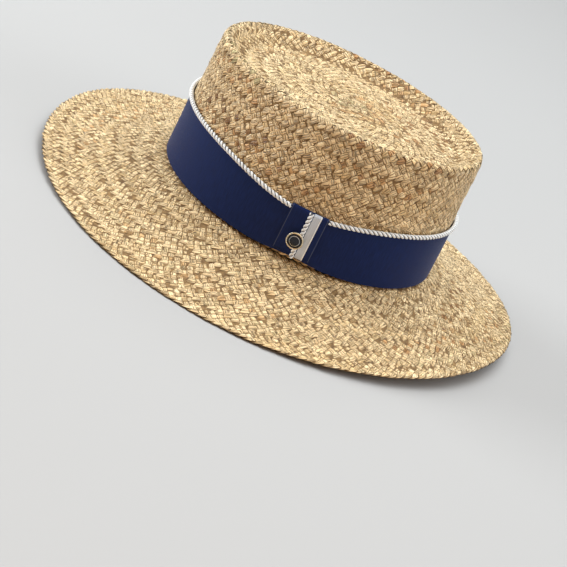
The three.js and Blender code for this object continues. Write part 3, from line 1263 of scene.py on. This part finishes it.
@dataclass
class Band:
    """The ribbon round the foot of the crown, its corded top edge, and the tab that pinches it."""

    form: HatForm
    ribbon: Material
    tab_ribbon: Material
    tape: Material
    white_cord: Material
    cord: TwistedCord = field(default_factory=TwistedCord)
    cloth: float = 1.0
    gap: float = 0.3
    cord_rise: float = 43.0
    cord_tilt: float = 1.5
    band_foot: float = 0.4
    tab_angle: float = math.radians(22.8)
    tab_width: float = 25.4
    tab_bottom: float = 3.4
    tab_top: float = 36.8
    pinch_angle: float = math.radians(19.3)
    pinch_top: float = 8.6
    pinch_top_spread: float = math.radians(28.0)
    pinch_foot: float = 2.4
    pinch_foot_spread: float = math.radians(11.0)
    tab_cord_offset: float = 0.8
    tape_offset: float = 5.3
    tape_width: float = 5.2
    button_offset: float = -1.3
    button_rise: float = 16.2
    button_clear: float = 3.0
    steps_round: int = 360
    soft_wave: float = 0.22
    ribbon_tuck: float = 0.6
    ribbon_cloth: float = 0.7
    tape_cloth: float = 0.6
    draw_spread: float = math.radians(16.0)
    cord_clear: float = 0.3
    fold_reach: float = 2.0
    fold_tuck: float = 1.2
    tab_swell: float = 0.25
    tape_lift: float = 0.65
    tape_hem: float = 0.3

    @property
    def tab_face(self) -> float:
        """How far the tab's face stands off the straw."""
        return 2 * (self.gap + self.cloth)

    @property
    def tab_height(self) -> float:
        """How tall the tab is."""
        return self.tab_top - self.tab_bottom

    def along(self, distance: Array) -> Array:
        """Angle at a distance along the band from the tab's middle.

        Args:
            distance: distances, in millimetres.

        Returns:
            Angles.
        """
        across = (self.form.foot_radius - self.form.oval) * math.sin(self.tab_angle)
        ahead = (self.form.foot_radius + self.form.oval) * math.cos(self.tab_angle)
        return self.tab_angle + distance / math.hypot(across, ahead)

    @staticmethod
    def _bump(t: Array, centre: float, spread: float) -> Array:
        """A rounded rise about an angle."""
        offset = np.mod(t - centre + math.pi, TURN) - math.pi
        return np.exp(-((offset / spread) ** 2))

    def cord_height(self, t: Array) -> Array:
        """Height of the trim cord's middle over the crown's foot."""
        pinch = self.pinch_top * self._bump(t, self.pinch_angle, self.pinch_top_spread)
        return self.cord_rise - self.cord_tilt * np.sin(t) - pinch

    def band_bottom(self, t: Array) -> Array:
        """Height of the ribbon's lower edge over the crown's foot."""
        return self.band_foot + self.pinch_foot * self._bump(t, self.tab_angle, self.pinch_foot_spread)

    def normal(self, t: Array, h: Array, lift: float) -> Array:
        """Direction off the crown's side.

        Args:
            t: angles.
            h: heights over the crown's foot.
            lift: distance off the straw.

        Returns:
            Unit vectors.
        """
        place, swing, step = self.form.side_point, 0.01, 0.5
        round_ = place(t + swing, h, lift) - place(t - swing, h, lift)
        rise = place(t, h + step, lift) - place(t, h - step, lift)
        return unit(np.cross(round_, rise))

    def _on_tab(self, distance: Array, v: Array, lift: Array) -> Array:
        """Place points on the tab, tucked in at its upper and lower folds.

        Args:
            distance: distances along the band from the tab's middle.
            v: shares of the tab's height.
            lift: distances off the straw between the folds.

        Returns:
            Points, with x, y and z on the last axis.
        """
        fold = np.minimum(v, 1 - v) * self.tab_height
        bent = np.sqrt(np.clip(1 - (1 - fold / self.fold_reach) ** 2, 0.0, 1.0))
        tuck = np.where(fold < self.fold_reach, self.fold_tuck * (1 - bent), 0.0)
        h = self.tab_bottom + self.tab_height * v
        return self.form.side_point(self.along(distance), h, lift - tuck)

    def build(self) -> list[Piece]:
        """Lay the ribbon, the cords, the tab and its tape.

        Returns:
            The pieces.
        """
        return [self._ribbon(), self._trim_cord(), self._tab(), self._tape_strip(), *self._tab_cords()]

    def _ribbon(self) -> Piece:
        """Lay the ribbon, with soft draws beside the tab that pinches it.

        Returns:
            The piece.
        """
        form = self.form

        def lie(u: Array, v: Array) -> Array:
            """Place a point of the ribbon."""
            t = self.tab_angle + u * TURN
            low, high = self.band_bottom(t), self.cord_height(t) - self.cord.radius + self.ribbon_tuck
            near = self._bump(t, self.tab_angle, self.draw_spread)
            offset = np.mod(t - self.tab_angle + math.pi, TURN) - math.pi
            draw = np.sin(v * 3.1 * math.pi + np.abs(offset) * 9.0) * near
            roll = np.sin(t * 7.0 + 1.3) * np.sin(v * math.pi) * 0.5
            lift = self.gap + self.cloth + self.soft_wave * (draw + roll)
            return form.side_point(t, low + (high - low) * v, lift)

        off = form.straw + self.gap + self.cloth / 2
        length = math.pi * (form.head_length + form.head_width) / 2 + 2 * math.pi * off
        grid = (self.steps_round, 28)
        piece = Bench.laid_sheet("ribbon", (length, 42.0), grid, lie, True, self.ribbon_cloth)
        return Bench.dress(piece, self.ribbon, Slot.RIBBON, "ribbon_band")

    def _trim_cord(self) -> Piece:
        """Lay the cord along the ribbon's top edge, from one side of the tab to the other.

        Returns:
            The piece.
        """
        clear = self.tab_width / 2 + self.cord_clear
        start, end = self.along(np.array([clear, -clear])) + np.array([0.0, TURN])
        t = np.linspace(start, end, 400)
        h, lift = self.cord_height(t), self.gap + self.cord.radius
        path = self.form.side_point(t, h, lift)
        piece = self.cord.lay("trim_cord_twist", path, self.normal(t, h, lift))
        return Bench.dress(piece, self.white_cord, Slot.CORD, "trim_cord")

    def _tab(self) -> Piece:
        """Lay the short ribbon wrapped over the band.

        Returns:
            The piece.
        """

        def lie(u: Array, v: Array) -> Array:
            """Place a point of the tab."""
            swell = self.tab_swell * np.sin(u * math.pi) * np.sin(v * math.pi)
            return self._on_tab((u - 0.5) * self.tab_width, v, self.tab_face + swell)

        size = (self.tab_width, self.tab_height)
        piece = Bench.laid_sheet("tab_ribbon", size, (36, 40), lie, False, self.ribbon_cloth)
        return Bench.dress(piece, self.tab_ribbon, Slot.RIBBON, "tab_wrap")

    def _tape_strip(self) -> Piece:
        """Lay the pale tape upright on the tab.

        Returns:
            The piece.
        """
        face = self.tab_face + self.gap + self.tape_lift

        def lie(u: Array, v: Array) -> Array:
            """Place a point of the tape."""
            lift = face + self.tape_hem * smoothstep(u, 0.82, 0.88)
            return self._on_tab(self.tape_offset + (u - 0.5) * self.tape_width, v, lift)

        size = (self.tape_width, self.tab_height)
        piece = Bench.laid_sheet("tab_tape_strip", size, (24, 40), lie, False, self.tape_cloth)
        return Bench.dress(piece, self.tape, Slot.TAPE, "tab_tape")

    def _tab_cords(self) -> list[Piece]:
        """Lay the upright cord on the tab, parted by the stud's stem.

        Returns:
            The pieces.
        """
        pieces = []
        spans = (
            ("upper", self.button_rise + self.button_clear, self.tab_top),
            ("lower", self.tab_bottom, self.button_rise - self.button_clear),
        )
        for part, low, high in spans:
            h = np.linspace(low, high, 40)
            t = self.along(np.full_like(h, self.tab_cord_offset))
            lift = self.tab_face + self.gap + self.cord.radius
            path, out = self.form.side_point(t, h, lift), self.normal(t, h, lift)
            piece = self.cord.lay(f"tab_cord_twist_{part}", path, out)
            pieces.append(Bench.dress(piece, self.white_cord, Slot.CORD, f"tab_cord_{part}"))
        return pieces


@dataclass
class StudButton:
    """The round stud on the tab, with an enamel face set in its rim."""

    band: Band
    metal: Material
    enamel: Material
    radius: float = 5.75
    stem_radius: float = 2.7
    cap_foot: float = 3.5
    cap: float = 1.7
    rim: float = 0.9
    edge: float = 0.4
    face_depth: float = 0.8
    face_dome: float = 0.45
    face_sink: float = 0.15
    face_foot: float = 0.05
    flare: float = 0.3
    fit: float = 0.1
    sides: int = 64
    dome_steps: int = 9

    def _stand(self, piece: Piece) -> None:
        """Smooth a piece made upright at the origin and stand its mesh on the tab's face.

        Args:
            piece: the object.
        """
        band = self.band
        t, h = band.along(np.array([band.button_offset])), np.array([band.button_rise])
        lift = band.tab_face + band.gap
        out = Vector(band.normal(t, h, lift)[0])
        turn = out.to_track_quat("Z", "Y").to_matrix().to_4x4()
        seat = Vector(band.form.side_point(t, h, lift)[0]) * MM
        piece.data.transform(Matrix.Translation(seat) @ turn)
        Bench.pick(piece)
        bpy.ops.object.shade_smooth_by_angle(angle=math.radians(35))

    @staticmethod
    def _raise(height: float) -> None:
        """Extrude the selected faces by a height in millimetres."""
        bpy.ops.mesh.extrude_region_move(TRANSFORM_OT_translate={"value": (0, 0, height * MM)})

    @staticmethod
    def _select_top(piece: Piece, height: float) -> None:
        """Select the faces that look up at a height, in edit mode.

        Args:
            piece: the object.
            height: height in millimetres.
        """
        bpy.ops.mesh.select_all(action="DESELECT")
        bpy.ops.object.mode_set(mode="OBJECT")
        for polygon in piece.data.polygons:
            level = abs(polygon.center.z - height * MM) < 0.02 * MM
            polygon.select = polygon.normal.z > 0.9 and level
        bpy.ops.object.mode_set(mode="EDIT")

    def _start(self, name: str, radius: float, low: float, high: float) -> Piece:
        """Add a cylinder between two heights, and select its top in edit mode.

        Args:
            name: the piece's name.
            radius: its radius, in millimetres.
            low: its foot.
            high: its top.

        Returns:
            The new object.
        """
        Bench.clear()
        middle = (0, 0, (low + high) / 2 * MM)
        bpy.ops.mesh.primitive_cylinder_add(
            vertices=self.sides, radius=radius * MM, depth=(high - low) * MM, location=middle
        )
        piece = bpy.context.object
        piece.name = piece.data.name = name
        bpy.ops.object.transform_apply(location=True, rotation=True, scale=True)
        bpy.ops.object.mode_set(mode="EDIT")
        bpy.ops.mesh.select_mode(type="FACE")
        self._select_top(piece, high)
        return piece

    def build(self) -> list[Piece]:
        """Turn the stud and its face.

        Returns:
            The two pieces.
        """
        return [
            Bench.dress(self._stud(), self.metal, Slot.STUD, "button_stud"),
            Bench.dress(self._face(), self.enamel, Slot.ENAMEL, "button_face"),
        ]

    def _stud(self) -> Piece:
        """Turn the stem and the rimmed cap.

        Returns:
            The new object.
        """
        stud = self._start("stud", self.stem_radius, 0.0, self.cap_foot - self.flare)
        self._raise(self.flare)
        wide = self.radius / self.stem_radius
        bpy.ops.transform.resize(value=(wide, wide, 1), center_override=(0, 0, self.cap_foot * MM))
        self._raise(self.cap)
        bpy.ops.mesh.inset(thickness=self.rim * MM, depth=0.0)
        self._raise(-self.face_depth)
        bpy.ops.object.mode_set(mode="OBJECT")
        limits = {"limit_method": "ANGLE", "angle_limit": math.radians(40)}
        Bench.apply(stud, "BEVEL", width=self.edge * MM, segments=4, **limits)
        self._stand(stud)
        return stud

    def _face(self) -> Piece:
        """Dome the enamel face.

        Returns:
            The new object, which carries the share of its radius as across.
        """
        top = self.cap_foot + self.cap
        inner = self.radius - self.rim - self.fit
        low, high = top - self.face_depth + self.face_foot, top - self.face_sink
        face = self._start("stud_enamel", inner, low, high)
        width = 1 / (self.dome_steps + 1)
        for step in range(self.dome_steps):
            bpy.ops.mesh.inset(thickness=inner * width * MM, depth=0.0)
            left = 1 - (step + 1) * width
            rise = self.face_dome * ((left + width) ** 2 - left**2)
            bpy.ops.transform.translate(value=(0, 0, rise * MM))
        bpy.ops.object.mode_set(mode="OBJECT")
        flat = np.empty(len(face.data.vertices) * 3)
        face.data.vertices.foreach_get("co", flat)
        spread = np.linalg.norm(flat.reshape(-1, 3)[:, :2], axis=1) / (inner * MM)
        Bench.carry(face.data, {"across": spread})
        self._stand(face)
        return face


@dataclass(frozen=True)
class SoftLight:
    """A soft square light, in metres and watts."""

    name: str
    place: tuple[float, float, float]
    aim: float
    side: float
    watts: float
    colour: Colour = (0.94, 0.99, 1.0)

    def hang(self) -> None:
        """Hang the light, facing a height over the middle of the floor."""
        lamp = bpy.data.lights.new(self.name, "AREA")
        lamp.size, lamp.energy, lamp.color = self.side, self.watts, self.colour
        holder = bpy.data.objects.new(self.name, lamp)
        holder.location = self.place
        gaze = Vector((0.0, 0.0, self.aim)) - Vector(self.place)
        holder.rotation_euler = gaze.to_track_quat("-Z", "Y").to_euler()
        bpy.context.collection.objects.link(holder)


@dataclass
class Studio:
    """The pale floor, the soft light and the camera."""

    floor: Material
    target: tuple[float, float, float] = (0.0, 0.0, 40.0)
    azimuth: float = math.radians(111.44)
    elevation: float = math.radians(22.21)
    roll: float = math.radians(25.30)
    distance: float = 975.35
    aside: float = 19.68
    below: float = -68.44
    focal_pixels: float = 1400.0
    sensor: float = 36.0
    floor_side: float = 24.0
    sky: float = 0.1
    far_wall: float = 0.68
    ceiling: float = 2.8
    ceiling_angle: float = math.radians(80)
    lights: tuple[SoftLight, ...] = (
        SoftLight("key", (-0.55, 0.0, 1.9), 0.05, 1.3, 16.0),
        SoftLight("front", (0.35, -1.7, 0.9), 0.06, 1.0, 30.0),
        SoftLight("rear", (-0.2, 1.7, 1.0), 0.06, 1.0, 12.0),
        SoftLight("warm_fill", (1.5, 0.5, 0.4), 0.08, 0.9, 5.5, (1.0, 0.56, 0.23)),
    )

    def build(self) -> None:
        """Set up the studio."""
        self._lay_floor()
        self._light()
        self._camera()
        bpy.context.scene.view_settings.view_transform = "Standard"

    def _lay_floor(self) -> None:
        """Lay the floor under the brim's lowest strands."""
        low = min(point[2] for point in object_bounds())
        Bench.clear()
        bpy.ops.mesh.primitive_plane_add(size=self.floor_side, location=(0, 0, 0))
        floor = bpy.context.object
        floor.name = "studio_floor"
        floor.data.transform(Matrix.Translation((0, 0, low)))
        floor.data.materials.append(self.floor)
        floor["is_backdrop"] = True

    def _light(self) -> None:
        """Soft light from above and behind, with a pale room round it."""
        world = bpy.data.worlds.new("studio_air")
        bpy.context.scene.world = world
        world.use_nodes = True
        sheet = NodeSheet(world.node_tree)
        air = next(n for n in world.node_tree.nodes if n.type == "BACKGROUND")
        air.inputs["Color"].default_value = (1.0, 0.97, 0.93, 1.0)
        seen = sheet.add("LightPath").outputs["Is Camera Ray"]
        sheet.feed(air.inputs["Strength"], sheet.spread(seen, 0.0, 1.0, self.sky, self.far_wall))
        sun = bpy.data.lights.new("ceiling", "SUN")
        sun.energy, sun.angle, sun.color = self.ceiling, self.ceiling_angle, (0.94, 0.99, 1.0)
        holder = bpy.data.objects.new("ceiling", sun)
        holder.rotation_euler = Vector((0.3, 0.0, -1.0)).to_track_quat("-Z", "Y").to_euler()
        bpy.context.collection.objects.link(holder)
        for light in self.lights:
            light.hang()

    def _camera(self) -> None:
        """Stand the camera where the photograph was taken from."""
        az, el = self.azimuth, self.elevation
        back = Vector((math.sin(az) * math.cos(el), -math.cos(az) * math.cos(el), math.sin(el)))
        right = Vector((math.cos(az), math.sin(az), 0.0))
        rise = back.cross(right)
        place = Vector(self.target) + back * self.distance
        ahead = (Vector(self.target) + right * self.aside + rise * self.below - place).normalized()
        level = ahead.cross(Vector((0, 0, 1))).normalized()
        upright = level.cross(ahead)
        x_axis = level * math.cos(self.roll) + upright * math.sin(self.roll)
        y_axis = upright * math.cos(self.roll) - level * math.sin(self.roll)
        lens = bpy.data.cameras.new("camera")
        lens.sensor_width = self.sensor
        lens.lens = self.focal_pixels / IMAGE_SIDE * self.sensor
        camera = bpy.data.objects.new("camera", lens)
        pose = Matrix((x_axis, y_axis, -ahead)).transposed().to_4x4()
        camera.matrix_world = Matrix.Translation(place * MM) @ pose
        bpy.context.collection.objects.link(camera)
        bpy.context.scene.camera = camera


def main() -> None:
    """Build the hat piece by piece, then the studio."""
    logging.basicConfig(level=logging.INFO, format="%(name)s: %(message)s")
    form, braid = HatForm(), Braid()
    raffia = RaffiaFinish("raffia").material()
    core = StrawCoreShadeFinish("straw_core_shade").material()
    navy = ((0.004, 0.011, 0.056), (0.009, 0.023, 0.112), (0.06, 0.075, 0.14))
    greys = ((0.52, 0.58, 0.68), (0.68, 0.74, 0.83), (0.93, 0.95, 0.98))
    seams = ((-11.9, 0.5), (11.9, 0.5))
    weave = {"roughness": 0.46, "weft": 0.55, "sheen": 0.12, "relief": 0.06}
    tape_weave = {"roughness": 0.5, "weft": 0.6, "sheen": 0.1, "relief": 0.12}
    ribbon = RibbonFinish("navy_ribbon", *navy, (), **weave).material()
    tab_ribbon = RibbonFinish("navy_tab_ribbon", *navy, seams, **weave).material()
    tape = RibbonFinish("grey_tape", *greys, ((2.3, 0.8),), **tape_weave).material()
    band = Band(form, ribbon, tab_ribbon, tape, CordFinish("white_cord").material())
    Crown(form, braid, raffia, core).build()
    Brim(form, braid, raffia, core).build()
    band.build()
    gilt, enamel = MetalFinish("gilt_metal").material(), EnamelFinish("dark_enamel").material()
    StudButton(band, gilt, enamel).build()
    Studio(FloorFinish("pale_floor").material()).build()


if __name__ == "__main__":
    main()
